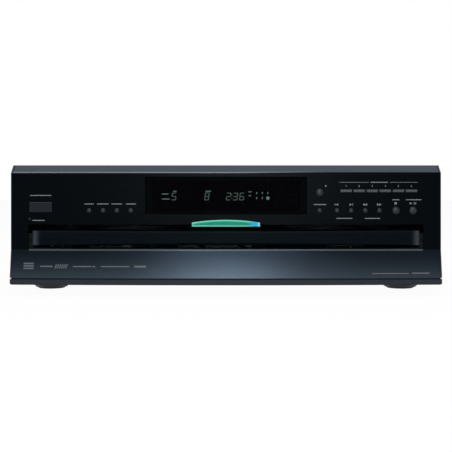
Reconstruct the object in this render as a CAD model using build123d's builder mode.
from build123d import *
import os
from math import atan2, cos, degrees, pi, radians, sin, sqrt, tan

# A compact disc changer: a carousel of six disc wells in a front-loading drawer.
# Millimetres. X runs to the right, Y from front to back, Z up. The origin is on the
# surface that the feet stand on, under the middle of the cabinet.

# Cabinet
overall_width = 435.0  # across the lip at the bottom of the front panel
foot_drop = 11.2  # from the surface up to the front panel's bottom edge
socket_reach = 9.0  # how far the rear sockets stand out
gap = 0.3  # between pieces that move past each other
seat_gap = 0.2  # between sheets that are screwed together
side_room = 13.0  # between the loader's side walls and the cover's outside
rear_room = 17.2  # behind the closed drawer
edge_reach = 0.01  # how near an edge has to be to the place it is picked by

# Front panel, a moulding open at the back
lip_spread = 0.65  # the lip reaches this far past the panel's sides
panel_width = overall_width - 2 * lip_spread
panel_height = 119.8
panel_depth = 24.0
panel_wall = 3.0
panel_corner = 4.0
chamfer_drop = 7.6  # the strip along the top that leans back
chamfer_run = 5.0
chamfer_inset = 1.5
slope_rise = 35.2  # the lower section leans forward below this height
seam_rise = 6.9  # the lip strip and its seam, from the bottom edge up
seam_height = 1.5
seam_depth = 1.2
lip_bow = 9.0  # the lip stands this far ahead of the flat face in the middle
lip_end = 3.0  # and this far at its ends
lip_chamfer = 1.0

# Drawer opening and the drawer's own front
opening_side_gap = 2.8
opening_height = 23.5
opening_rise = 36.9  # from the panel's bottom edge up
opening_lip = 1.6  # bright chamfer along the opening's lower edge
drawer_front_overhang = 3.9  # past the tray on each side
drawer_front_height = 16.0
drawer_front_rise = 2.5  # above the opening's lower edge
drawer_front_depth = 8.0  # from its back to its ends' front
drawer_front_bow = 8.0
drawer_front_setback = 2.0  # its ends are this far behind the panel's face
drawer_front_top_fall = 2.1  # the wedge of its top and bottom over the bow
drawer_front_bottom_rise = 2.7
drawer_front_corner = 7.0

# Display window, display tube and tray light
controls_width = 136.4  # on each side of the window
window_height = 36.2
window_rise = 71.0
window_recess = 0.8
window_bevel = 1.2
window_flange = 2.0
window_flange_thickness = 1.5
tube_margin = 5.0
tube_depth = 8.0
tube_bevel = 1.0
lens_width = 68.2
lens_side_height = 3.8
lens_crown = 2.7
lens_drop = 2.0  # it hangs this far into the drawer opening
lens_proud = 0.6
lens_flange = 1.2
lens_lip = 1.5

# Front board behind the panel
board_thickness = 1.6
board_setback = 13.0  # from the inside of the panel's face
board_side_gap = 6.85
board_bottom_rise = 63.2
board_height = 45.5
boss_radius = 3.5
boss_inset = 4.0  # from the board's ends
boss_rises = (69.5, 101.0)
switch_size = 6.0
switch_depth = 3.6

# Buttons: each cap stands out of its hole, with a flange behind the panel and a stem
button_proud = 1.3
button_travel = 0.8
button_flange = 1.0
button_flange_lip = 1.0
button_bevel = 0.5
button_seat = 0.1
flat_gap = 0.25
key_flange_lip = 0.55
stem_radius = 1.5
small_cap = 2.45
small_ring = 0.55
large_cap = 3.9
large_ring = 0.6
button_row_rise = 74.4
power_size = (22.4, 10.0)
power_inset = 30.65  # this and the other insets are from the panel's nearer side
power_rise = 77.8
left_row_inset = 79.35
left_row_pitch = 13.95
open_inset = 122.65
open_rise = 92.4
search_row_inset = 105.25
search_row_pitch = 14.2
stop_inset = 45.95
play_inset = 28.85
key_size = (11.6, 2.6)
key_row_inset = 96.05
key_row_pitch = 13.12
key_row_rise = 94.1
lamp_inset = 19.55
lamp_rise = 66.0
lamp_radius = 1.3
lamp_proud = 0.2

# Sheet metal
sheet = 1.0
cover_sheet = 0.8
cover_inset = 1.35  # the cover is this much narrower than the panel on each side
cover_corner = 4.0
cover_drop = 0.8  # the cover's top lies this far below the panel's top
cover_lip = 9.0
flange_height = 24.0
rear_flange = 6.0
side_screw_y = (-60.0, 140.0)
rear_screw_x = (-150.0, 0.0, 150.0)
vent_length = 26.0
vent_width = 3.0
vent_pitch = 7.5
vent_count = 11
vent_row_x = (-118.0, 118.0)
vent_row_y = (118.0, 152.0)
screw_radius = 1.6
screw_head_radius = 4.0
screw_head = 1.8
screw_clearance = 0.15
board_screw_length = 6.0
board_screw_head = 3.2
cover_screw_length = 6.0

# Feet
foot_radius = 21.0
foot_taper = 1.5
foot_round = 3.0
pad_radius = 14.0
pad_thickness = 1.2
foot_inset = 28.5  # from the cover's sides
front_foot_setback = 76.0
rear_foot_setback = 56.0

# Drawer tray, carousel and their drives
drawer_travel = 255.0
nose_wall = 2.5  # between the pocket and the drawer's front
well_rim = 2.8  # between a well and the carousel's edge
well_count = 6
well_radius = 60.7
well_depth = 2.0
small_well_radius = 41.0
small_well_depth = 0.8
well_hole = 20.0
well_slot_width = 32.0
well_slot_length = 71.0
carousel_gap = 3.0  # round it in its pocket
carousel_thickness = 4.8
carousel_lift = 5.2  # from the tray's bottom up to the carousel's underside
tray_wall = 3.5
tray_floor = 2.0
tray_height = 13.0
tray_rise = 2.7  # above the opening's lower edge
arm_width = 10.0
arm_height = 7.2
arm_length = 130.0  # behind the carousel's axis
runner_rise = 3.2
runner_height = 3.0
runner_width = 6.0
runner_setback = 4.0
rack_drop = 2.2
rack_margin = 12.0
hub_radius = 7.0
hub_shoulder = 12.0
hub_cap_radius = 22.0
hub_cap_height = 2.4
hub_cap_edge = 1.0
hub_cap_slope = 3.0
track_radius = 100.0
track_width = 2.0
ring_inset = 38.5  # of the ring gear's pitch line, from the pocket's wall
ring_teeth = 120
pinion_teeth = 12
ring_band = 4.5
gear_height = 2.6
motor_radius = 12.0
carousel_motor_height = 20.0
motor_bevel = 1.0
carousel_motor_angle = 45.0
shaft_radius = 1.5
rack_module = 1.5
loading_teeth = 14
pinion_height = 4.5
loading_hub = 6.0
loading_setback = 36.0  # of the loading gear's axis, behind the drawer's front
rack_width = 9.5  # from the tray's left side to the rack's pitch line
large_pulley = 18.0
small_pulley = 4.0
pulley_height = 5.0
pulley_groove = 1.2
belt_width = 1.6
belt_thickness = 1.2
belt_seat = 0.1
belt_slack = 0.2
motor_spacing = 32.0
loading_motor_height = 15.5
gear_post = 2.0
backlash = 0.5
tooth_root = 1.2  # this and the next are in modules from the pitch line
tooth_tip = 0.9
pressure_angle = 20.0

# Loader frame: two walls that carry the drawer's runners, and two beams
rail_wall = 8.0
rail_gap = 2.5
rail_height = 46.8
rail_front_setback = 8.0
rail_rear_setback = 38.2
beam_height = 30.0
beam_thickness = 8.0
rear_beam_setback = 11.0  # this and the next are from the spindle
rear_beam_height = 5.8
gear_rise = 23.8
rear_rail_foot_setback = 17.0
front_rail_foot_setback = 76.0  # from the drawer's front
rail_foot = 12.0
rail_foot_height = 8.0
shelf_rise = 17.8
shelf_thickness = 3.0
shelf_end = 14.0  # past the motor's axis
shelf_rear = 18.0  # behind it
shelf_hole = 2.5
rail_window = (60.0, 18.0)
rail_window_pitch = 80.0
rail_window_setback = 15.0  # of the middle one, behind the carousel's axis

# Disc mechanism under the rear well
lift_travel = 16.0
frame_half_width = 40.0
frame_reach = (75.0, 29.0)  # ahead of the spindle and behind it
frame_rise = 9.8
frame_height = 11.5
frame_wall = 4.0
frame_deck = 2.5
window_gap = 3.0  # round it in the tray's floor
frame_ear = 12.0
frame_ear_height = 6.0
ear_x = 46.0
ear_reach = 21.0  # ahead of the spindle
post_radius = 2.5
post_height = 32.8
spindle_motor_radius = 11.0
spindle_motor_height = 9.0
turntable_radius = 15.0
turntable_rise = 32.1  # its top face above the chassis floor, mechanism down
turntable_height = 3.0
turntable_cone = 2.6
turntable_cone_radius = 7.4
turntable_hub = 4.0
turntable_hub_height = 2.0
spindle_radius = 1.2
lens_inner = 23.0  # the pickup's lens, from the spindle, at the start of a disc
pickup_travel = 35.0
pickup_front = 11.0
pickup_rear = 7.5
pickup_rise = 2.5
pickup_half_width = 22.0
pickup_height = 7.0
tower_width = 22.0
tower_front = 9.0
tower_height = 10.0
lens_radius = 3.0
lens_height = 0.8
rod_radius = 1.5
rod_x = 16.0
rod_rise = 6.0
rod_seat = 1.0
rod_wall_gap = 1.5
sled_module = 0.8
sled_teeth = 12
sled_rack_height = 3.0
sled_rack_rise = 3.0
sled_rack_margin = 3.0
sled_gear_setback = 8.0
sled_shelf = 2.0
sled_shaft = 1.0
sled_rack_width = 3.0
sled_motor_radius = 5.5
sled_motor_height = 9.0
cam_plate = 2.0
cam_travel = 27.0
cam_pin_radius = 2.0
cam_pin_x = 25.0
cam_pin_rise = 4.0
cam_pin_end = 1.0
cam_margin = 6.0
cam_tab_x = (13.0, 25.0)
cam_gap = 8.0
cam_height = 34.4
cam_flange = 8.0
tab_height = 4.0

# Clamp bridge and clamper over the rear well
bridge_clearance = 3.3  # between its legs and the tray
bridge_width = 20.0
bridge_sheet = 2.0
bridge_rise = 53.8  # its top sheet's underside above the chassis floor
bridge_foot = 12.0
bridge_hole = 13.0
bridge_pad = 19.0
bridge_rib = 4.0
clamper_gap = 0.7
clamper_radius = 16.0
clamper_neck = 12.2
clamper_face = 3.0
clamper_flange = 1.6
clamper_bore = 8.3
clamper_bore_depth = 2.4

# Boards, transformer and rear sockets
main_board_inset = 7.0  # from the tray's left side
main_board_end = 17.0  # past the last socket
main_board_gap = 4.2  # to the rear panel
main_board_rise = 6.0
board_margin = 6.0
standoff_radius = 3.0
capacitor_radius = 8.0
capacitor_height = 16.0
capacitor_places = ((17.0, 32.0), (37.0, 32.0))  # from the board's front left corner
chip_places = (
    ((59.0, 83.0), (14.0, 34.0), 2.5),
    ((93.0, 107.0), (10.0, 20.0), 2.5),
    ((93.0, 113.0), (30.0, 38.0), 2.0),
)
transformer_inset = 2.0  # from the tray's right side
transformer_width = 54.0
transformer_length = 44.0
transformer_gap = 8.2  # to the rear panel
transformer_height = 46.0
transformer_core = 16.0
transformer_foot = 4.0
transformer_leg = 8.0
socket_rise = 20.0
output_places = (35.0, 52.0)  # these and the next sockets are from the board's left edge
output_radius = 4.15
output_collar = 5.6
output_bore = 1.6
socket_body = (14.0, 12.0)
optical_place = 77.0
optical_size = 11.0
optical_hole = 6.4
optical_proud = 1.0
optical_depth = 9.0
remote_body = 11.0
remote_places = (99.0, 112.0)
remote_radius = 3.4
remote_bore = 1.8
gland_inset = 26.0  # from the tray's right side
gland_rise = 16.0
gland_radius = 7.0
gland_bore = 3.6
gland_flange = 9.0
gland_collar = 2.3
gland_length = 11.0

# Places that follow from the sizes above
cover_width = panel_width - 2 * cover_inset
cover_half = cover_width / 2
tray_half = cover_half - side_room - rail_wall - rail_gap
pocket_radius = tray_half - tray_wall
carousel_radius = pocket_radius - carousel_gap
well_circle = carousel_radius - well_rim - well_radius
drawer_front_half = tray_half + drawer_front_overhang
opening_width = 2 * (drawer_front_half + opening_side_gap)
window_width = panel_width - 2 * controls_width
board_width = panel_width - 2 * board_side_gap
drawer_depth = drawer_front_setback + drawer_front_depth + nose_wall + pocket_radius + tray_half
overall_depth = lip_bow + drawer_depth + rear_room + sheet + cover_sheet + socket_reach
front_y = -overall_depth / 2
face_y = front_y + lip_bow
panel_inside = face_y + panel_wall
panel_back = face_y + panel_depth
panel_top = foot_drop + panel_height
rear_y = overall_depth / 2 - socket_reach
floor_bottom = foot_drop + panel_wall
floor_top = floor_bottom + sheet
slope_z = foot_drop + slope_rise
seam_z = foot_drop + seam_rise
opening_bottom = foot_drop + opening_rise
opening_top = opening_bottom + opening_height
chassis_half = cover_half - cover_sheet - seat_gap
rear_panel_y = rear_y - cover_sheet - sheet
board_y = panel_inside + board_setback
tray_bottom = opening_bottom + tray_rise
tray_front = face_y + drawer_front_setback + drawer_front_depth
carousel_y = tray_front + nose_wall + pocket_radius
carousel_bottom = tray_bottom + carousel_lift
carousel_top = carousel_bottom + carousel_thickness
arm_end = carousel_y + arm_length
spindle_y = carousel_y + well_circle
frame_front = spindle_y - frame_reach[0]
frame_rear = spindle_y + frame_reach[1]
ear_y = spindle_y - ear_reach
frame_bottom = floor_top + frame_rise
frame_top = frame_bottom + frame_height
turntable_top = floor_top + turntable_rise
lens_y = spindle_y - lens_inner
rail_front = panel_inside + rail_front_setback
rail_rear = rear_panel_y - rail_rear_setback
rear_beam_y = spindle_y + rear_beam_setback
rail_foot_y = (tray_front + front_rail_foot_setback, spindle_y - rear_rail_foot_setback)
bridge_z = floor_top + bridge_rise
bridge_leg_x = sqrt((tray_half + bridge_clearance) ** 2 - (well_circle - bridge_width / 2) ** 2)
bridge_half_width = bridge_leg_x + bridge_sheet
motor_turn = radians(carousel_motor_angle)
ring_radius = pocket_radius - ring_inset
ring_module = 2 * ring_radius / ring_teeth
pinion_radius = ring_module * pinion_teeth / 2
drive_radius = ring_radius + pinion_radius
drive_x = drive_radius * cos(motor_turn)
drive_y = carousel_y + drive_radius * sin(motor_turn)
rack_line = tray_half - rack_width  # left of the middle
loading_radius = rack_module * loading_teeth / 2
loading_x = -rack_line + loading_radius
loading_y = tray_front + loading_setback
sled_radius = sled_module * sled_teeth / 2
sled_rack_z = frame_bottom + sled_rack_rise
runner_tip = tray_half + runner_width
main_board_left = main_board_inset - tray_half
main_board_front = rear_beam_y + beam_thickness
main_board_x = (main_board_left, main_board_left + remote_places[-1] + main_board_end)
main_board_y = (main_board_front, rear_panel_y - main_board_gap)
output_x = [main_board_left + place for place in output_places]
optical_x = main_board_left + optical_place
remote_x = [main_board_left + place for place in remote_places]
transformer_right = tray_half - transformer_inset
transformer_rear = rear_panel_y - transformer_gap
transformer_x = (transformer_right - transformer_width, transformer_right)
transformer_y = (transformer_rear - transformer_length, transformer_rear)
gland_x = tray_half - gland_inset
tooth_corners = ((-tooth_root, -1), (tooth_tip, -1), (tooth_tip, 1), (-tooth_root, 1))


def save(part, name):
    """Labels a finished piece and writes its file."""
    part.label = name
    export_step(part, f"parts/{name}.step")


def front_plan(height, half_width, end_y, middle_y, back_y, corner):
    """A level slice of the front panel: rounded front corners and a bowed or straight front."""
    with BuildSketch(Plane.XY.offset(height)) as plan:
        with BuildLine():
            if middle_y == end_y:
                Line((-half_width, end_y), (half_width, end_y))
            else:
                ThreePointArc((-half_width, end_y), (0, middle_y), (half_width, end_y))
            Polyline((half_width, end_y), (half_width, back_y), (-half_width, back_y), (-half_width, end_y))
        make_face()
        fillet(plan.vertices().group_by(Axis.Y)[0], corner)
    return plan.sketch


def facing(y):
    """The upright plane at depth y that looks to the front: sketches on it are in X and Z."""
    return Plane.XZ.offset(-y)


def gear_profile(centre, teeth, module, turn):
    """Straight-flanked teeth on a level disc about a centre, thinned for backlash."""
    pitch_radius = module * teeth / 2
    half_pitch_tooth = pi * module / 4 - backlash * module / 4
    corners = []
    for tooth in range(teeth):
        angle = turn + 2 * pi * tooth / teeth
        for reach, side in tooth_corners:
            radius = pitch_radius + reach * module
            half = half_pitch_tooth - reach * module * tan(radians(pressure_angle))
            at = angle + side * half / radius
            corners.append((radius * cos(at), radius * sin(at)))
    with BuildSketch(Plane(origin=centre)) as profile:
        with BuildLine():
            Polyline(*corners, close=True)
        make_face()
    return profile.sketch


def rack_profile(height, pitch_x, first_y, last_y, mesh_y, module, width):
    """A level rack along Y with its teeth towards +X and a gap between teeth at mesh_y."""
    pitch = pi * module
    half_pitch_tooth = pitch / 4 - backlash * module / 4
    back_x = pitch_x - width
    root_x = pitch_x - tooth_root * module
    ahead = int((mesh_y - first_y) / pitch) - 1
    behind = int((last_y - mesh_y) / pitch) - 1
    corners = [(back_x, first_y), (root_x, first_y)]
    for tooth in range(-ahead, behind + 1):
        middle = mesh_y + (tooth + 0.5) * pitch
        for reach, side in tooth_corners:
            half = half_pitch_tooth - reach * module * tan(radians(pressure_angle))
            corners.append((pitch_x + reach * module, middle + side * half))
    corners += [(root_x, last_y), (back_x, last_y)]
    with BuildSketch(Plane.XY.offset(height)) as profile:
        with BuildLine():
            Polyline(*corners, close=True)
        make_face()
    return profile.sketch


def block(x_span, y_span, z_span, mode=Mode.ADD):
    """A box between three pairs of limits, for walls, slots and windows."""
    sizes = [high - low for low, high in (x_span, y_span, z_span)]
    middle = [(high + low) / 2 for low, high in (x_span, y_span, z_span)]
    with Locations(tuple(middle)):
        Box(*sizes, mode=mode)


def block_pair(x_span, y_span, z_span, mode=Mode.ADD):
    """The same box on the right and mirrored on the left."""
    block(x_span, y_span, z_span, mode)
    block((-x_span[1], -x_span[0]), y_span, z_span, mode)


def post(x, y, z_span, radius, mode=Mode.ADD):
    """An upright cylinder between two heights."""
    with Locations((x, y, (z_span[0] + z_span[1]) / 2)):
        Cylinder(radius, z_span[1] - z_span[0], mode=mode)


def turned(x, y, points):
    """A profile of radius and height, to be revolved about the upright axis through x and y."""
    with BuildSketch(Plane(origin=(x, y, 0), x_dir=(1, 0, 0), z_dir=(0, -1, 0))) as profile:
        with BuildLine():
            Polyline(*points, close=True)
        make_face()
    return profile.sketch


def upright(x, y):
    """The upright axis through x and y."""
    return Axis((x, y, 0), (0, 0, 1))


os.makedirs("parts", exist_ok=True)

# Front panel
panel_half = panel_width / 2
lip_half = overall_width / 2
lip_end_y = face_y - lip_end
chamfer_z = panel_top - chamfer_drop
inner_half = panel_half - panel_wall
inner_back = panel_back + panel_wall
inner_corner = panel_corner - panel_wall
top_share = (chamfer_drop - panel_wall) / chamfer_drop

left_row_x = left_row_inset - panel_half
search_row_x = panel_half - search_row_inset
open_x = panel_half - open_inset
key_row_x = panel_half - key_row_inset
power_x = power_inset - panel_half
lamp_x = lamp_inset - panel_half
boss_x = board_width / 2 - boss_inset

# Each button: its name, its middle in X and height, its cap's and its ring's radius
round_buttons = [
    (f"{use}_button", left_row_x + i * left_row_pitch, button_row_rise, small_cap, small_ring)
    for i, use in enumerate(("play_mode", "repeat", "memory", "display"))
]
round_buttons += [
    (f"{use}_button", search_row_x + i * search_row_pitch, button_row_rise, small_cap, small_ring)
    for i, use in enumerate(("track_back", "track_forward", "search_back", "search_forward"))
]
round_buttons += [
    ("disc_skip_button", open_x, button_row_rise, small_cap, small_ring),
    ("open_close_button", open_x, open_rise, large_cap, large_ring),
    ("stop_button", panel_half - stop_inset, button_row_rise, large_cap, large_ring),
    ("play_pause_button", panel_half - play_inset, button_row_rise, large_cap, large_ring),
]
flat_buttons = [("power_button", power_x, power_rise, power_size, button_flange_lip)]
flat_buttons += [
    (f"disc_key_{i + 1}", key_row_x + i * key_row_pitch, key_row_rise, key_size, key_flange_lip)
    for i in range(well_count)
]


def lens_outline(y, grow):
    """The arched outline of the tray light's lens on an upright plane, grown all round."""
    half = lens_width / 2 + grow
    low = opening_top - lens_drop - grow
    side = opening_top - lens_drop + lens_side_height + grow
    with BuildSketch(facing(y)) as outline:
        with BuildLine():
            Polyline((-half, side), (-half, low), (half, low), (half, side))
            ThreePointArc((half, side), (0, side + lens_crown), (-half, side))
        make_face()
    return outline.sketch


with BuildPart() as front_panel:
    extrude(
        front_plan(foot_drop, lip_half, lip_end_y, front_y, panel_back, panel_corner),
        amount=seam_rise - seam_height,
    )
    bottom_edges = front_panel.faces().sort_by(Axis.Z)[0].edges()
    chamfer(bottom_edges.filter_by(lambda edge: edge.center().Y < face_y + panel_corner), lip_chamfer)
    extrude(
        front_plan(
            seam_z - seam_height,
            lip_half - seam_depth,
            lip_end_y + seam_depth,
            front_y + seam_depth,
            panel_back,
            panel_corner,
        ),
        amount=seam_height,
    )
    loft(
        [
            front_plan(seam_z, lip_half, lip_end_y, front_y, panel_back, panel_corner),
            front_plan(slope_z, panel_half, face_y, face_y, panel_back, panel_corner),
        ],
        ruled=True,
    )
    extrude(
        front_plan(slope_z, panel_half, face_y, face_y, panel_back, panel_corner),
        amount=chamfer_z - slope_z,
    )
    top_y = face_y + chamfer_run
    loft(
        [
            front_plan(chamfer_z, panel_half, face_y, face_y, panel_back, panel_corner),
            front_plan(panel_top, panel_half - chamfer_inset, top_y, top_y, panel_back, panel_corner),
        ],
        ruled=True,
    )
    # The hollow behind, open at the back
    loft(
        [
            front_plan(
                floor_bottom,
                lip_half - panel_wall,
                lip_end_y + panel_wall,
                front_y + panel_wall,
                inner_back,
                inner_corner,
            ),
            front_plan(slope_z, inner_half, panel_inside, panel_inside, inner_back, inner_corner),
        ],
        ruled=True,
        mode=Mode.SUBTRACT,
    )
    extrude(
        front_plan(slope_z, inner_half, panel_inside, panel_inside, inner_back, inner_corner),
        amount=chamfer_z - slope_z,
        mode=Mode.SUBTRACT,
    )
    under_top_y = panel_inside + chamfer_run * top_share
    under_top_half = inner_half - chamfer_inset * top_share
    loft(
        [
            front_plan(chamfer_z, inner_half, panel_inside, panel_inside, inner_back, inner_corner),
            front_plan(
                panel_top - panel_wall,
                under_top_half,
                under_top_y,
                under_top_y,
                inner_back,
                inner_corner,
            ),
        ],
        ruled=True,
        mode=Mode.SUBTRACT,
    )
    # Drawer opening with its bright lower lip
    wall_span = (face_y - panel_wall, panel_inside + panel_wall / 2)
    block((-opening_width / 2, opening_width / 2), wall_span, (opening_bottom, opening_top), Mode.SUBTRACT)
    lip_edge = front_panel.edges().filter_by(Axis.X).sort_by(
        lambda edge: abs(edge.center().Y - face_y) + abs(edge.center().Z - opening_bottom)
    )[0]
    chamfer(lip_edge, opening_lip)
    # Window aperture with a bevelled rim
    window_low = foot_drop + window_rise
    window_high = window_low + window_height
    block((-window_width / 2, window_width / 2), wall_span, (window_low, window_high), Mode.SUBTRACT)
    rim = front_panel.edges().filter_by(
        lambda edge: abs(edge.center().Y - face_y) < edge_reach
        and abs(edge.center().X) < window_width / 2 + edge_reach
        and window_low - edge_reach < edge.center().Z < window_high + edge_reach
    )
    chamfer(rim, window_bevel)
    # Notch for the tray light, holes for the buttons and the standby lamp
    extrude(lens_outline(panel_inside + panel_wall / 2, gap), amount=2 * panel_wall, mode=Mode.SUBTRACT)
    with BuildSketch(facing(panel_inside + panel_wall / 2)):
        for _, x, rise, cap, ring in round_buttons:
            with Locations((x, foot_drop + rise)):
                Circle(cap + ring)
        for _, x, rise, (width, height), _ in flat_buttons:
            with Locations((x, foot_drop + rise)):
                Rectangle(width + 2 * flat_gap, height + 2 * flat_gap)
        with Locations((lamp_x, foot_drop + lamp_rise)):
            Circle(lamp_radius + screw_clearance)
    extrude(amount=2 * panel_wall, mode=Mode.SUBTRACT)
    # Bosses that carry the front board
    boss_places = [(x, foot_drop + rise) for x in (-boss_x, boss_x) for rise in boss_rises]
    with BuildSketch(facing(board_y)):
        with Locations(boss_places):
            Circle(boss_radius)
    extrude(amount=board_setback)
    with BuildSketch(facing(board_y)):
        with Locations(boss_places):
            Circle(screw_radius + screw_clearance)
    extrude(amount=board_screw_length, mode=Mode.SUBTRACT)
save(front_panel.part, "front_panel")

# Display window, seated from behind against the aperture
with BuildPart() as display_window:
    with BuildSketch(facing(panel_inside)):
        with Locations((0, (window_low + window_high) / 2)):
            Rectangle(window_width - 2 * seat_gap, window_height - 2 * seat_gap)
    extrude(amount=panel_wall - window_recess)
    with BuildSketch(facing(panel_inside + window_flange_thickness)):
        with Locations((0, (window_low + window_high) / 2)):
            Rectangle(window_width + 2 * window_flange, window_height + window_flange)
    extrude(amount=window_flange_thickness)
save(display_window.part, "display_window")

# Display tube: a flat glass envelope that stands on the front board
with BuildPart() as display_tube:
    with BuildSketch(facing(board_y)):
        with Locations((0, (window_low + window_high) / 2)):
            Rectangle(window_width - 2 * tube_margin, window_height - tube_margin)
    extrude(amount=tube_depth)
    chamfer(display_tube.faces().sort_by(Axis.Y)[0].edges(), tube_bevel)
save(display_tube.part, "display_tube")

# Tray light: an arched clear bar with a flange behind the panel
with BuildPart() as tray_light_lens:
    extrude(lens_outline(panel_inside, 0), amount=panel_wall + lens_proud)
    extrude(lens_outline(panel_inside + lens_lip, lens_flange), amount=lens_lip)
save(tray_light_lens.part, "tray_light_lens")

with BuildPart() as standby_lamp:
    with BuildSketch(facing(board_y)):
        with Locations((lamp_x, foot_drop + lamp_rise)):
            Circle(lamp_radius)
    extrude(amount=board_setback + panel_wall + lamp_proud)
save(standby_lamp.part, "standby_lamp")

# Front board with one tact switch behind each button
with BuildPart() as front_board:
    board_low = foot_drop + board_bottom_rise
    board_span = (board_y, board_y + board_thickness)
    block((-board_width / 2, board_width / 2), board_span, (board_low, board_low + board_height))
    with BuildSketch(facing(board_y)):
        for name, x, rise, *_ in round_buttons + flat_buttons:
            with Locations((x, foot_drop + rise)):
                Rectangle(switch_size, switch_size)
    extrude(amount=switch_depth)
    with BuildSketch(facing(board_y + board_thickness)):
        with Locations(boss_places):
            Circle(screw_radius + screw_clearance)
    extrude(amount=board_thickness, mode=Mode.SUBTRACT)
save(front_board.part, "front_board")

# Buttons. The stem ends short of its switch by the travel.
flange_y = panel_inside + button_seat
cap_y = face_y - button_proud
stem_y = board_y - switch_depth - button_travel - button_seat


def round_button(x, z, cap, ring):
    """A turned cap with a flange behind the panel and a stem, about an axis along Y."""
    flange = cap + ring + button_flange_lip
    profile = [
        (0, cap_y),
        (cap - button_bevel, cap_y),
        (cap, cap_y + button_bevel),
        (cap, flange_y),
        (flange, flange_y),
        (flange, flange_y + button_flange),
        (stem_radius, flange_y + button_flange),
        (stem_radius, stem_y),
        (0, stem_y),
    ]
    with BuildPart() as button:
        with BuildSketch(Plane(origin=(x, 0, z))):
            with BuildLine():
                Polyline(*profile, close=True)
            make_face()
        revolve(axis=Axis((x, 0, z), (0, 1, 0)))
    return button.part


def flat_button(x, z, size, lip):
    """A rectangular cap with a flange behind the panel and a round stem."""
    width, height = size
    with BuildPart() as button:
        with BuildSketch(facing(flange_y)):
            with Locations((x, z)):
                Rectangle(width, height)
        extrude(amount=flange_y - cap_y)
        chamfer(button.faces().sort_by(Axis.Y)[0].edges(), button_bevel)
        with BuildSketch(facing(flange_y + button_flange)):
            with Locations((x, z)):
                Rectangle(width + 2 * lip, height + 2 * lip)
        extrude(amount=button_flange)
        with BuildSketch(facing(stem_y)):
            with Locations((x, z)):
                Circle(stem_radius)
        extrude(amount=stem_y - flange_y - button_flange)
    return button.part


for name, x, rise, cap, ring in round_buttons:
    save(round_button(x, foot_drop + rise, cap, ring), name)
for name, x, rise, size, lip in flat_buttons:
    save(flat_button(x, foot_drop + rise, size, lip), name)

# Base chassis: a steel floor with flanges, a tongue inside the panel, and lanced tabs
cam_y = (frame_front - cam_gap - cam_plate, frame_front - cam_gap)
cam_flange_y = (cam_y[1] - cam_flange, cam_y[1])
cover_top = panel_top - cover_drop
cover_screw_z = floor_top + flange_height / 2
main_board_low = floor_top + main_board_rise
standoff_places = [
    (x, y)
    for x in (main_board_x[0] + board_margin, main_board_x[1] - board_margin)
    for y in (main_board_y[0] + board_margin, main_board_y[1] - board_margin)
]
with BuildPart() as base_chassis:
    floor_z = (floor_bottom, floor_top)
    block((-chassis_half, chassis_half), (panel_back + seat_gap, rear_panel_y + sheet), floor_z)
    tongue_half = inner_half - seat_gap
    block((-tongue_half, tongue_half), (panel_inside, panel_back + seat_gap), floor_z)
    block_pair(
        (chassis_half - sheet, chassis_half),
        (panel_back + seat_gap, rear_panel_y + sheet),
        (floor_bottom, floor_top + flange_height),
    )
    for x_span in ((-cam_tab_x[1], -cam_tab_x[0]), cam_tab_x):
        tab_z = (floor_bottom, floor_top + tab_height)
        block(x_span, (cam_flange_y[0] - gap - sheet, cam_flange_y[0] - gap), tab_z)
        block(x_span, (cam_flange_y[1] + gap, cam_flange_y[1] + gap + sheet), tab_z)
    for x, y in standoff_places:
        post(x, y, (floor_bottom, main_board_low), standoff_radius)
        post(x, y, (floor_top, main_board_low), screw_radius + screw_clearance, Mode.SUBTRACT)
    with BuildSketch(Plane.YZ):
        with Locations([(y, cover_screw_z) for y in side_screw_y]):
            Circle(screw_radius + screw_clearance)
    extrude(amount=cover_half, both=True, mode=Mode.SUBTRACT)
save(base_chassis.part, "base_chassis")


def cover_outline(half, top):
    """The cover's section: square at the bottom, bent round at the top."""
    with BuildSketch(facing(rear_y)) as outline:
        with Locations((0, (top + floor_bottom) / 2)):
            Rectangle(2 * half, top - floor_bottom)
        bend = cover_corner - (cover_half - half)
        fillet(outline.vertices().group_by(Axis.Y)[-1], bend)
    return outline.sketch


# Top cover, one bent sheet with vents and a lip down over the rear panel
cover_length = rear_y - panel_back - seat_gap
with BuildPart() as top_cover:
    extrude(cover_outline(cover_half, cover_top), amount=cover_length)
    extrude(
        cover_outline(cover_half - cover_sheet, cover_top - cover_sheet),
        amount=cover_length,
        mode=Mode.SUBTRACT,
    )
    lip_half_width = chassis_half - cover_corner
    lip_z = (cover_top - cover_lip, cover_top - cover_sheet / 2)
    block((-lip_half_width, lip_half_width), (rear_y - cover_sheet, rear_y), lip_z)
    with BuildSketch(Plane.XY.offset(cover_top)):
        for x in vent_row_x:
            for y in vent_row_y:
                with Locations((x, y)):
                    with GridLocations(vent_pitch, vent_length, vent_count, 1):
                        Rectangle(vent_width, vent_length)
    extrude(amount=-2 * cover_sheet, mode=Mode.SUBTRACT)
    with BuildSketch(Plane.YZ):
        with Locations([(y, cover_screw_z) for y in side_screw_y]):
            Circle(screw_radius + screw_clearance)
    extrude(amount=cover_width, both=True, mode=Mode.SUBTRACT)
    with BuildSketch(facing(rear_y)):
        with Locations([(x, cover_top - cover_lip / 2) for x in rear_screw_x]):
            Circle(screw_radius + screw_clearance)
    extrude(amount=cover_sheet, mode=Mode.SUBTRACT)
save(top_cover.part, "top_cover")

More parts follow.
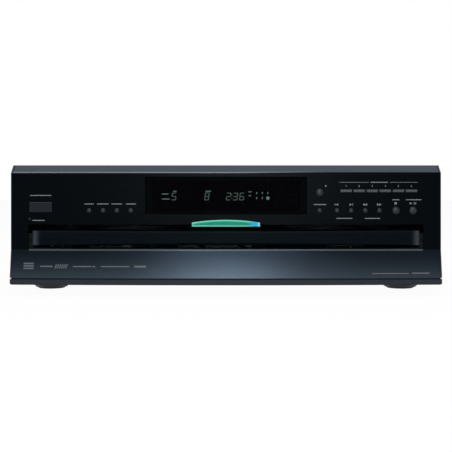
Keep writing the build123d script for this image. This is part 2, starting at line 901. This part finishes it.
# Rear panel with its socket holes, standing on the floor by a flange
socket_z = floor_top + socket_rise
gland_z = floor_top + gland_rise
main_board_top = main_board_low + board_thickness
rear_half = chassis_half - sheet - seat_gap
with BuildPart() as rear_panel:
    rear_top = cover_top - cover_sheet - seat_gap
    with BuildSketch(facing(rear_panel_y + sheet)) as back:
        with Locations((0, (rear_top + floor_top) / 2)):
            Rectangle(2 * rear_half, rear_top - floor_top)
        fillet(back.vertices().group_by(Axis.Y)[-1], cover_corner)
    extrude(amount=sheet)
    flange_y_span = (rear_panel_y - rear_flange, rear_panel_y)
    block((-rear_half, rear_half), flange_y_span, (floor_top, floor_top + sheet))
    with BuildSketch(facing(rear_panel_y + sheet)):
        with Locations([(x, socket_z) for x in output_x]):
            Circle(output_collar + screw_clearance)
        with Locations([(x, socket_z) for x in remote_x]):
            Circle(remote_radius + screw_clearance)
        with Locations((optical_x, socket_z)):
            Rectangle(optical_size + 2 * screw_clearance, optical_size + 2 * screw_clearance)
        with Locations((gland_x, gland_z)):
            Circle(gland_radius + screw_clearance)
        with Locations([(x, cover_top - cover_lip / 2) for x in rear_screw_x]):
            Circle(screw_radius + screw_clearance)
    extrude(amount=sheet, mode=Mode.SUBTRACT)
save(rear_panel.part, "rear_panel")

# Four feet under the floor, each with a rubber pad
foot_places = [
    (x, y)
    for x in (foot_inset - cover_half, cover_half - foot_inset)
    for y in (face_y + front_foot_setback, rear_y - rear_foot_setback)
]
with BuildPart() as feet:
    for x, y in foot_places:
        revolve(
            turned(
                x,
                y,
                [
                    (0, pad_thickness),
                    (foot_radius - foot_taper - foot_round, pad_thickness),
                    (foot_radius - foot_taper, pad_thickness + foot_round),
                    (foot_radius, floor_bottom),
                    (0, floor_bottom),
                ],
            ),
            axis=upright(x, y),
        )
save(feet.part, "feet")

with BuildPart() as foot_pads:
    with BuildSketch():
        with Locations(foot_places):
            Circle(pad_radius)
    extrude(amount=pad_thickness)
save(foot_pads.part, "foot_pads")

# Rear sockets, each with its body on the main board and its mouth through the rear panel
socket_y = (rear_panel_y - socket_body[1], rear_panel_y)
output_end = rear_y + socket_reach
with BuildPart() as output_sockets:
    half_body = socket_body[0] / 2
    body_z = (main_board_top, socket_z + half_body)
    block((min(output_x) - half_body, max(output_x) + half_body), socket_y, body_z)
    with BuildSketch(facing(rear_y)):
        with Locations([(x, socket_z) for x in output_x]):
            Circle(output_collar)
    extrude(amount=rear_y - rear_panel_y)
    with BuildSketch(facing(output_end)):
        with Locations([(x, socket_z) for x in output_x]):
            Circle(output_radius)
    extrude(amount=socket_reach)
    with BuildSketch(facing(output_end)):
        with Locations([(x, socket_z) for x in output_x]):
            Circle(output_bore)
    extrude(amount=socket_reach, mode=Mode.SUBTRACT)
save(output_sockets.part, "output_sockets")

with BuildPart() as optical_socket:
    half_body = optical_size / 2
    optical_end = rear_panel_y + sheet + optical_proud
    body_z = (socket_z - half_body, socket_z + half_body)
    block((optical_x - half_body, optical_x + half_body), (socket_y[0], optical_end), body_z)
    leg_z = (main_board_top, body_z[0])
    block((optical_x - half_body, optical_x + half_body), (socket_y[0], socket_y[1] - seat_gap), leg_z)
    half_hole = optical_hole / 2
    block(
        (optical_x - half_hole, optical_x + half_hole),
        (optical_end - optical_depth, optical_end),
        (socket_z - half_hole, socket_z + half_hole),
        Mode.SUBTRACT,
    )
save(optical_socket.part, "optical_socket")

with BuildPart() as remote_sockets:
    half_body = remote_body / 2
    body_z = (main_board_top, socket_z + half_body)
    block((min(remote_x) - half_body, max(remote_x) + half_body), socket_y, body_z)
    remote_end = rear_panel_y + sheet + optical_proud
    with BuildSketch(facing(remote_end)):
        with Locations([(x, socket_z) for x in remote_x]):
            Circle(remote_radius)
    extrude(amount=remote_end - rear_panel_y)
    with BuildSketch(facing(remote_end)):
        with Locations([(x, socket_z) for x in remote_x]):
            Circle(remote_bore)
    extrude(amount=optical_depth, mode=Mode.SUBTRACT)
save(remote_sockets.part, "remote_sockets")

# Mains cord gland: a flanged bush in the rear panel
with BuildPart() as cord_gland:
    gland_end = rear_panel_y + sheet + gland_collar
    with BuildSketch(facing(gland_end)):
        with Locations((gland_x, gland_z)):
            Circle(gland_flange)
    extrude(amount=gland_collar)
    with BuildSketch(facing(gland_end)):
        with Locations((gland_x, gland_z)):
            Circle(gland_radius)
    extrude(amount=gland_length)
    with BuildSketch(facing(gland_end)):
        with Locations((gland_x, gland_z)):
            Circle(gland_bore)
    extrude(amount=gland_length, mode=Mode.SUBTRACT)
save(cord_gland.part, "cord_gland")

# Main board with its larger components
with BuildPart() as main_board:
    block(main_board_x, main_board_y, (main_board_low, main_board_top))
    for right, back in capacitor_places:
        x, y = main_board_left + right, main_board_front + back
        post(x, y, (main_board_low, main_board_top + capacitor_height), capacitor_radius)
    for right, back, height in chip_places:
        x_span = [main_board_left + end for end in right]
        y_span = [main_board_front + end for end in back]
        block(x_span, y_span, (main_board_low, main_board_top + height))
    for x, y in standoff_places:
        post(x, y, (main_board_low, main_board_top), screw_radius + screw_clearance, Mode.SUBTRACT)
save(main_board.part, "main_board")

# Mains transformer: a laminated core round its bobbin, on a foot plate
with BuildPart() as transformer:
    middle_y = sum(transformer_y) / 2
    core_y = (middle_y - transformer_core / 2, middle_y + transformer_core / 2)
    foot_x_span = (transformer_x[0] - transformer_foot, transformer_x[1] + transformer_foot)
    block(foot_x_span, core_y, (floor_top, floor_top + sheet))
    block(transformer_x, core_y, (floor_top, floor_top + transformer_height))
    bobbin_x = (transformer_x[0] + transformer_leg, transformer_x[1] - transformer_leg)
    bobbin_z = (floor_top + transformer_leg, floor_top + transformer_height - transformer_leg)
    block(bobbin_x, transformer_y, bobbin_z)
save(transformer.part, "transformer")

# Loader frame: two side walls with channels for the runners, two beams and the motor shelf
wall_x = (tray_half + rail_gap, tray_half + rail_gap + rail_wall)
runner_z = (tray_bottom + runner_rise, tray_bottom + runner_rise + runner_height)
motor_x = loading_x + motor_spacing
shelf_z = (floor_top + shelf_rise, floor_top + shelf_rise + shelf_thickness)
gear_z = (floor_top + gear_rise, floor_top + gear_rise + pulley_height)
pinion_top = tray_bottom - gap
front_beam_y = (rail_front, rail_front + beam_thickness)
foot_x_span = (wall_x[0] - rail_foot, wall_x[0])
rail_foot_places = [
    (side * (wall_x[0] - rail_foot / 2), y) for side in (-1, 1) for y in rail_foot_y
]
with BuildPart() as loader_frame:
    block_pair(wall_x, (rail_front, rail_rear), (floor_top, floor_top + rail_height))
    block((-wall_x[0], wall_x[0]), front_beam_y, (floor_top, floor_top + beam_height))
    rear_beam_y_span = (rear_beam_y, rear_beam_y + beam_thickness)
    block((-wall_x[0], wall_x[0]), rear_beam_y_span, (floor_top, floor_top + rear_beam_height))
    block((-wall_x[0], motor_x + shelf_end), (front_beam_y[0], loading_y + shelf_rear), shelf_z)
    block_pair(
        (wall_x[0], tray_half + runner_width + 2 * gap),
        (rail_front, arm_end + 2 * gap),
        (runner_z[0] - gap, runner_z[1] + gap),
        Mode.SUBTRACT,
    )
    for place in (-1, 0, 1):
        middle_y = carousel_y + rail_window_setback + place * rail_window_pitch
        window_y = (middle_y - rail_window[0] / 2, middle_y + rail_window[0] / 2)
        middle_z = (floor_top + runner_z[0]) / 2
        window_z = (middle_z - rail_window[1] / 2, middle_z + rail_window[1] / 2)
        block_pair(wall_x, window_y, window_z, Mode.SUBTRACT)
    for x, y in rail_foot_places:
        half_foot = rail_foot / 2
        x_span = (x - half_foot, x + half_foot)
        block(x_span, (y - half_foot, y + half_foot), (floor_top, floor_top + rail_foot_height))
        post(x, y, (floor_top, floor_top + rail_foot_height), screw_radius + screw_clearance, Mode.SUBTRACT)
    post(motor_x, loading_y, shelf_z, shelf_hole, Mode.SUBTRACT)
    post(loading_x, loading_y, (shelf_z[0], pinion_top), gear_post)
save(loader_frame.part, "loader_frame")

# Loading motor under the shelf, its pulley, the belt and the gear that drives the rack
with BuildPart() as loading_motor:
    post(motor_x, loading_y, (shelf_z[0] - loading_motor_height, shelf_z[0]), motor_radius)
    chamfer(loading_motor.edges().group_by(Axis.Z)[0], motor_bevel)
save(loading_motor.part, "loading_motor")


def pulley_profile(x, y, groove_radius):
    """Two flanges with the belt's seat between them."""
    rim = groove_radius + pulley_groove
    middle = (gear_z[0] + gear_z[1]) / 2
    seat = belt_width / 2 + belt_slack
    return turned(
        x,
        y,
        [
            (0, gear_z[0]),
            (rim, gear_z[0]),
            (rim, middle - seat - pulley_groove / 2),
            (groove_radius, middle - seat),
            (groove_radius, middle + seat),
            (rim, middle + seat + pulley_groove / 2),
            (rim, gear_z[1]),
            (0, gear_z[1]),
        ],
    )


with BuildPart() as motor_pulley:
    revolve(pulley_profile(motor_x, loading_y, small_pulley), axis=upright(motor_x, loading_y))
    post(motor_x, loading_y, (shelf_z[0] + seat_gap, gear_z[0]), shaft_radius)
save(motor_pulley.part, "motor_pulley")

# The pinion has a tooth towards the rack, which has a gap there
with BuildPart() as loading_gear:
    pinion_low = pinion_top - pinion_height
    revolve(pulley_profile(loading_x, loading_y, large_pulley), axis=upright(loading_x, loading_y))
    post(loading_x, loading_y, (shelf_z[1] + gap, pinion_low), loading_hub)
    extrude(
        gear_profile((loading_x, loading_y, pinion_low), loading_teeth, rack_module, pi),
        amount=pinion_height,
    )
    post(loading_x, loading_y, (shelf_z[1], pinion_top), gear_post + screw_clearance, Mode.SUBTRACT)
save(loading_gear.part, "loading_gear")


def belt_outline(grow):
    """The taut loop round both pulleys, this far outside their grooves."""
    with BuildSketch(Plane.XY.offset((gear_z[0] + gear_z[1] - belt_width) / 2)) as outline:
        with Locations((loading_x, loading_y)):
            Circle(large_pulley + grow)
        with Locations((motor_x, loading_y)):
            Circle(small_pulley + grow)
        make_hull()
    return outline.sketch


with BuildPart() as loading_belt:
    extrude(belt_outline(belt_seat + belt_thickness), amount=belt_width)
    extrude(belt_outline(belt_seat), amount=belt_width, mode=Mode.SUBTRACT)
save(loading_belt.part, "loading_belt")

# Drawer front: wedge-shaped in section, bowed in plan, its ends rounded back
front_low = opening_bottom + drawer_front_rise
front_high = front_low + drawer_front_height
front_end_y = tray_front - drawer_front_depth
front_middle_y = front_end_y - drawer_front_bow
with BuildPart() as drawer_front:
    extrude(
        front_plan(
            front_low,
            drawer_front_half,
            front_end_y,
            front_middle_y,
            tray_front,
            drawer_front_corner,
        ),
        amount=drawer_front_height,
    )
    with BuildSketch(Plane.YZ):
        with BuildLine():
            Polyline(
                (tray_front, front_low),
                (front_end_y, front_low),
                (front_middle_y, front_low + drawer_front_bottom_rise),
                (front_middle_y, front_high - drawer_front_top_fall),
                (front_end_y, front_high),
                (tray_front, front_high),
                close=True,
            )
        make_face()
    extrude(amount=drawer_front_half, both=True, mode=Mode.INTERSECT)
save(drawer_front.part, "drawer_front")

# Drawer tray: a round pocket for the carousel, a deck in the front corners, two arms and the rack
pocket_floor = tray_bottom + tray_floor
tray_top = tray_bottom + tray_height
with BuildPart() as drawer_tray:
    with BuildSketch(Plane.XY.offset(tray_bottom)):
        with Locations((0, carousel_y)):
            Circle(tray_half)
        with Locations((0, (tray_front + carousel_y) / 2)):
            Rectangle(2 * tray_half, carousel_y - tray_front)
        with Locations((0, tray_front - tray_half)):
            Rectangle(2 * tray_half, 2 * tray_half, mode=Mode.SUBTRACT)
    extrude(amount=tray_height)
    arm_x = (tray_half - arm_width, tray_half)
    block_pair(arm_x, (carousel_y, arm_end), (tray_bottom, tray_bottom + arm_height))
    post(0, carousel_y, (pocket_floor, tray_top), pocket_radius, Mode.SUBTRACT)
    with BuildSketch(Plane.XY.offset(tray_bottom)):
        corner_front = tray_front + tray_wall
        with Locations((0, (corner_front + carousel_y) / 2)):
            Rectangle(2 * (tray_half - tray_wall), carousel_y - corner_front)
        with Locations((0, carousel_y)):
            Circle(tray_half, mode=Mode.SUBTRACT)
    extrude(amount=tray_height - tray_floor, mode=Mode.SUBTRACT)
    block_pair((tray_half, runner_tip), (tray_front + runner_setback, arm_end), runner_z)
    extrude(
        rack_profile(
            tray_bottom - rack_drop,
            -rack_line,
            loading_y - rack_margin,
            loading_y + drawer_travel + rack_margin,
            loading_y,
            rack_module,
            rack_width,
        ),
        amount=rack_drop,
    )
    # The hub that the carousel turns on, and the track that steadies it
    post(0, carousel_y, (tray_bottom, carousel_bottom - seat_gap), hub_shoulder)
    post(0, carousel_y, (tray_bottom, carousel_top + gap), hub_radius)
    with BuildSketch(Plane.XY.offset(pocket_floor)):
        with Locations((0, carousel_y)):
            Circle(track_radius + track_width)
            Circle(track_radius, mode=Mode.SUBTRACT)
    extrude(amount=carousel_bottom - seat_gap - pocket_floor)
    # The window that the disc mechanism rises through, and the motor's shaft hole
    well_window_x = frame_half_width + window_gap
    window_y = (frame_front - window_gap, frame_rear + window_gap)
    block((-well_window_x, well_window_x), window_y, (tray_bottom, tray_top), Mode.SUBTRACT)
    post(drive_x, drive_y, (tray_bottom, pocket_floor), shaft_radius + gap, Mode.SUBTRACT)
save(drawer_tray.part, "drawer_tray")

# Carousel with its wells, their slots for the mechanism, and the ring gear underneath
slot_circle = well_circle - well_slot_length / 2
gear_low = carousel_bottom - gear_height
with BuildPart() as carousel:
    with BuildSketch(Plane.XY.offset(carousel_bottom)):
        with Locations((0, carousel_y)):
            Circle(carousel_radius)
            Circle(hub_radius + gap, mode=Mode.SUBTRACT)
            with PolarLocations(well_circle, well_count, start_angle=90):
                Circle(well_hole, mode=Mode.SUBTRACT)
            with PolarLocations(slot_circle, well_count, start_angle=90):
                Rectangle(well_slot_length, well_slot_width, mode=Mode.SUBTRACT)
    extrude(amount=carousel_thickness)
    for radius, depth in ((well_radius, well_depth), (small_well_radius, well_depth + small_well_depth)):
        with BuildSketch(Plane.XY.offset(carousel_top)):
            with Locations((0, carousel_y)):
                with PolarLocations(well_circle, well_count, start_angle=90):
                    Circle(radius)
        extrude(amount=-depth, mode=Mode.SUBTRACT)
    extrude(
        gear_profile((0, carousel_y, gear_low), ring_teeth, ring_module, motor_turn),
        amount=gear_height,
    )
    ring_inside = ring_radius - tooth_root * ring_module - ring_band
    post(0, carousel_y, (gear_low, carousel_bottom), ring_inside, Mode.SUBTRACT)
save(carousel.part, "carousel")

# Cap that holds the carousel down on its hub
cap_low = carousel_top + gap
with BuildPart() as hub_cap:
    cap_high = cap_low + hub_cap_height
    revolve(
        turned(
            0,
            carousel_y,
            [
                (0, cap_low),
                (hub_cap_radius, cap_low),
                (hub_cap_radius, cap_low + hub_cap_edge),
                (hub_cap_radius - hub_cap_slope, cap_high),
                (0, cap_high),
            ],
        ),
        axis=upright(0, carousel_y),
    )
save(hub_cap.part, "hub_cap")

# Carousel motor under the tray and its pinion in the ring gear
with BuildPart() as carousel_motor:
    post(drive_x, drive_y, (tray_bottom - carousel_motor_height, tray_bottom), motor_radius)
    chamfer(carousel_motor.edges().group_by(Axis.Z)[0], motor_bevel)
save(carousel_motor.part, "carousel_motor")

with BuildPart() as carousel_pinion:
    pinion_turn = motor_turn + pi + pi / pinion_teeth
    extrude(
        gear_profile((drive_x, drive_y, gear_low), pinion_teeth, ring_module, pinion_turn),
        amount=gear_height - gap,
    )
    post(drive_x, drive_y, (tray_bottom + seat_gap, gear_low), shaft_radius)
save(carousel_pinion.part, "carousel_pinion")

# Disc mechanism: a frame open below, with ears that slide on two pins and pins for the cam
pickup_y = (lens_y - pickup_front, lens_y + pickup_rear)
sled_gear_x = pickup_half_width + sled_rack_width + sled_radius
sled_gear_y = lens_y - sled_gear_setback
rod_z = frame_bottom + rod_rise
cam_pin_z = frame_bottom + cam_pin_rise
with BuildPart() as mech_frame:
    block((-frame_half_width, frame_half_width), (frame_front, frame_rear), (frame_bottom, frame_top))
    inner_x = frame_half_width - frame_wall
    inner_y = (frame_front + frame_wall, frame_rear - frame_wall)
    block((-inner_x, inner_x), inner_y, (frame_bottom, frame_top - frame_deck), Mode.SUBTRACT)
    rod_wall_y = (pickup_y[1] + rod_wall_gap, pickup_y[1] + rod_wall_gap + frame_wall)
    block((-inner_x, inner_x), rod_wall_y, (frame_bottom, frame_top))
    opening_x = pickup_half_width + sled_rack_width + frame_wall
    block((-opening_x, opening_x), (inner_y[0], rod_wall_y[0]), (frame_bottom, frame_top), Mode.SUBTRACT)
    rack_pass_x = (pickup_half_width - gap, inner_x)
    block(rack_pass_x, rod_wall_y, (frame_bottom, frame_top - frame_deck), Mode.SUBTRACT)
    deck_low = frame_top - frame_deck
    post(0, spindle_y, (frame_bottom, deck_low), spindle_motor_radius + seat_gap, Mode.SUBTRACT)
    post(0, spindle_y, (deck_low, frame_top), turntable_hub, Mode.SUBTRACT)
    shelf_x = (sled_gear_x - sled_motor_radius, inner_x)
    shelf_y = (sled_gear_y - sled_motor_radius, sled_gear_y + sled_motor_radius)
    sled_shelf_z = (frame_bottom, frame_bottom + sled_shelf)
    block(shelf_x, shelf_y, sled_shelf_z)
    post(sled_gear_x, sled_gear_y, sled_shelf_z, sled_shaft + gap, Mode.SUBTRACT)
    ear_y_span = (ear_y - frame_ear / 2, ear_y + frame_ear / 2)
    ear_z = (frame_bottom, frame_bottom + frame_ear_height)
    block_pair((frame_half_width, ear_x + frame_ear / 2), ear_y_span, ear_z)
    for x in (-ear_x, ear_x):
        post(x, ear_y, (frame_bottom, frame_top), post_radius + gap, Mode.SUBTRACT)
    with BuildSketch(facing(frame_front)):
        with Locations((-cam_pin_x, cam_pin_z), (cam_pin_x, cam_pin_z)):
            Circle(cam_pin_radius)
    extrude(amount=frame_front - cam_y[0] + cam_pin_end)
    with BuildSketch(facing(rod_wall_y[1])):
        with Locations((-rod_x, rod_z), (rod_x, rod_z)):
            Circle(rod_radius)
    extrude(amount=rod_wall_y[1] - frame_front - rod_seat, mode=Mode.SUBTRACT)
save(mech_frame.part, "mech_frame")

with BuildPart() as guide_posts:
    for x in (-ear_x, ear_x):
        post(x, ear_y, (floor_top, floor_top + post_height), post_radius)
save(guide_posts.part, "guide_posts")

with BuildPart() as guide_rods:
    with BuildSketch(facing(rod_wall_y[1])):
        with Locations((-rod_x, rod_z), (rod_x, rod_z)):
            Circle(rod_radius)
    extrude(amount=rod_wall_y[1] - frame_front - rod_seat)
save(guide_rods.part, "guide_rods")

# Spindle motor in the frame's round pocket, and the turntable with its centring cone
with BuildPart() as spindle_motor:
    post(0, spindle_y, (deck_low - spindle_motor_height, deck_low), spindle_motor_radius)
save(spindle_motor.part, "spindle_motor")

turntable_low = turntable_top - turntable_height
with BuildPart() as turntable:
    cone_top = turntable_top + turntable_cone
    revolve(
        turned(
            0,
            spindle_y,
            [
                (0, deck_low + seat_gap),
                (spindle_radius, deck_low + seat_gap),
                (spindle_radius, turntable_low - turntable_hub_height),
                (turntable_hub, turntable_low - turntable_hub_height),
                (turntable_hub, turntable_low),
                (turntable_radius, turntable_low),
                (turntable_radius, turntable_top),
                (turntable_cone_radius, turntable_top),
                (turntable_hub, cone_top),
                (0, cone_top),
            ],
        ),
        axis=upright(0, spindle_y),
    )
save(turntable.part, "turntable")

# Pickup: a sled on two rods, with its lens on a tower and a rack along one side
with BuildPart() as pickup:
    pickup_z = (frame_bottom + pickup_rise, frame_bottom + pickup_rise + pickup_height)
    block((-pickup_half_width, pickup_half_width), pickup_y, pickup_z)
    tower_top = pickup_z[1] + tower_height
    tower_y = (lens_y - tower_front, pickup_y[1])
    block((-tower_width / 2, tower_width / 2), tower_y, (pickup_z[1], tower_top))
    post(0, lens_y, (tower_top, tower_top + lens_height), lens_radius)
    with BuildSketch(facing(pickup_y[1])):
        with Locations((-rod_x, rod_z), (rod_x, rod_z)):
            Circle(rod_radius + seat_gap)
    extrude(amount=pickup_front + pickup_rear, mode=Mode.SUBTRACT)
    extrude(
        rack_profile(
            sled_rack_z,
            pickup_half_width + sled_rack_width,
            pickup_y[0],
            sled_gear_y + pickup_travel + sled_rack_margin,
            sled_gear_y,
            sled_module,
            sled_rack_width,
        ),
        amount=sled_rack_height,
    )
save(pickup.part, "pickup")

with BuildPart() as sled_motor:
    sled_motor_z = (frame_bottom - sled_motor_height, frame_bottom)
    post(sled_gear_x, sled_gear_y, sled_motor_z, sled_motor_radius)
save(sled_motor.part, "sled_motor")

with BuildPart() as sled_gear:
    extrude(
        gear_profile((sled_gear_x, sled_gear_y, sled_rack_z), sled_teeth, sled_module, pi),
        amount=sled_rack_height,
    )
    post(sled_gear_x, sled_gear_y, (frame_bottom + seat_gap, sled_rack_z), sled_shaft)
save(sled_gear.part, "sled_gear")

# Cam slider: two sloping slots that raise the frame's pins as the plate slides to the right
with BuildPart() as cam_slider:
    cam_x = (-cam_pin_x - cam_travel - cam_margin, cam_pin_x + cam_margin)
    cam_low = floor_top + seat_gap
    block(cam_x, cam_y, (cam_low, floor_top + cam_height))
    block(cam_x, cam_flange_y, (cam_low, cam_low + sheet))
    with BuildSketch(facing(cam_y[1])):
        for x in (-cam_pin_x, cam_pin_x):
            with Locations((x - cam_travel / 2, cam_pin_z + lift_travel / 2)):
                SlotCenterToCenter(
                    sqrt(cam_travel**2 + lift_travel**2),
                    2 * (cam_pin_radius + gap),
                    rotation=-degrees(atan2(lift_travel, cam_travel)),
                )
    extrude(amount=cam_plate, mode=Mode.SUBTRACT)
save(cam_slider.part, "cam_slider")

# Clamp bridge over the rear well, and the clamper that hangs in its hole
bridge_y = (spindle_y - bridge_width / 2, spindle_y + bridge_width / 2)
bridge_top = bridge_z + bridge_sheet
with BuildPart() as clamp_bridge:
    block((-bridge_half_width, bridge_half_width), bridge_y, (bridge_z, bridge_top))
    block_pair((bridge_half_width - bridge_sheet, bridge_half_width), bridge_y, (floor_top, bridge_top))
    foot_span = (bridge_half_width - bridge_sheet, bridge_half_width + bridge_foot)
    block_pair(foot_span, bridge_y, (floor_top, floor_top + bridge_sheet))
    for edge_y in (bridge_y[0], bridge_y[1] - bridge_sheet):
        rib_z = (bridge_top, bridge_top + bridge_rib)
        block((-bridge_half_width, bridge_half_width), (edge_y, edge_y + bridge_sheet), rib_z)
    with Locations((0, spindle_y, bridge_z)):
        Cylinder(bridge_pad, bridge_sheet, align=(Align.CENTER, Align.CENTER, Align.MIN))
    post(0, spindle_y, (bridge_top, bridge_top + bridge_rib), bridge_pad, Mode.SUBTRACT)
    post(0, spindle_y, (bridge_z, bridge_top), bridge_hole, Mode.SUBTRACT)
save(clamp_bridge.part, "clamp_bridge")

clamper_low = bridge_z - clamper_gap - clamper_face
clamper_seat = bridge_top + seat_gap
with BuildPart() as clamper:
    revolve(
        turned(
            0,
            spindle_y,
            [
                (0, clamper_low + clamper_bore_depth),
                (clamper_bore, clamper_low + clamper_bore_depth),
                (clamper_bore, clamper_low),
                (clamper_radius, clamper_low),
                (clamper_radius, clamper_low + clamper_face),
                (clamper_neck, clamper_low + clamper_face),
                (clamper_neck, clamper_seat),
                (clamper_radius, clamper_seat),
                (clamper_radius, clamper_seat + clamper_flange),
                (0, clamper_seat + clamper_flange),
            ],
        ),
        axis=upright(0, spindle_y),
    )
save(clamper.part, "clamper")

# Screws: through the cover into the chassis, and inside into the board bosses and the floor
with BuildPart() as cover_screws:
    for side in (-1, 1):
        out = Plane(origin=(side * cover_half, 0, 0), x_dir=(0, side, 0), z_dir=(side, 0, 0))
        places = [(side * y, cover_screw_z) for y in side_screw_y]
        with BuildSketch(out):
            with Locations(places):
                Circle(screw_head_radius)
        extrude(amount=screw_head)
        with BuildSketch(out):
            with Locations(places):
                Circle(screw_radius)
        extrude(amount=-cover_screw_length)
    places = [(x, cover_top - cover_lip / 2) for x in rear_screw_x]
    with BuildSketch(facing(rear_y + screw_head)):
        with Locations(places):
            Circle(screw_head_radius)
    extrude(amount=screw_head)
    with BuildSketch(facing(rear_y)):
        with Locations(places):
            Circle(screw_radius)
    extrude(amount=cover_screw_length)
save(cover_screws.part, "cover_screws")

with BuildPart() as chassis_screws:
    head_y = board_y + board_thickness
    shaft_length = board_thickness + board_screw_length - gap
    with BuildSketch(facing(head_y + screw_head)):
        with Locations(boss_places):
            Circle(board_screw_head)
    extrude(amount=screw_head)
    with BuildSketch(facing(head_y)):
        with Locations(boss_places):
            Circle(screw_radius)
    extrude(amount=shaft_length)
    upright_screws = [(place, main_board_top) for place in standoff_places]
    upright_screws += [(place, floor_top + rail_foot_height) for place in rail_foot_places]
    for (x, y), seat_z in upright_screws:
        post(x, y, (seat_z, seat_z + screw_head), board_screw_head)
        post(x, y, (seat_z - shaft_length, seat_z), screw_radius)
save(chassis_screws.part, "chassis_screws")
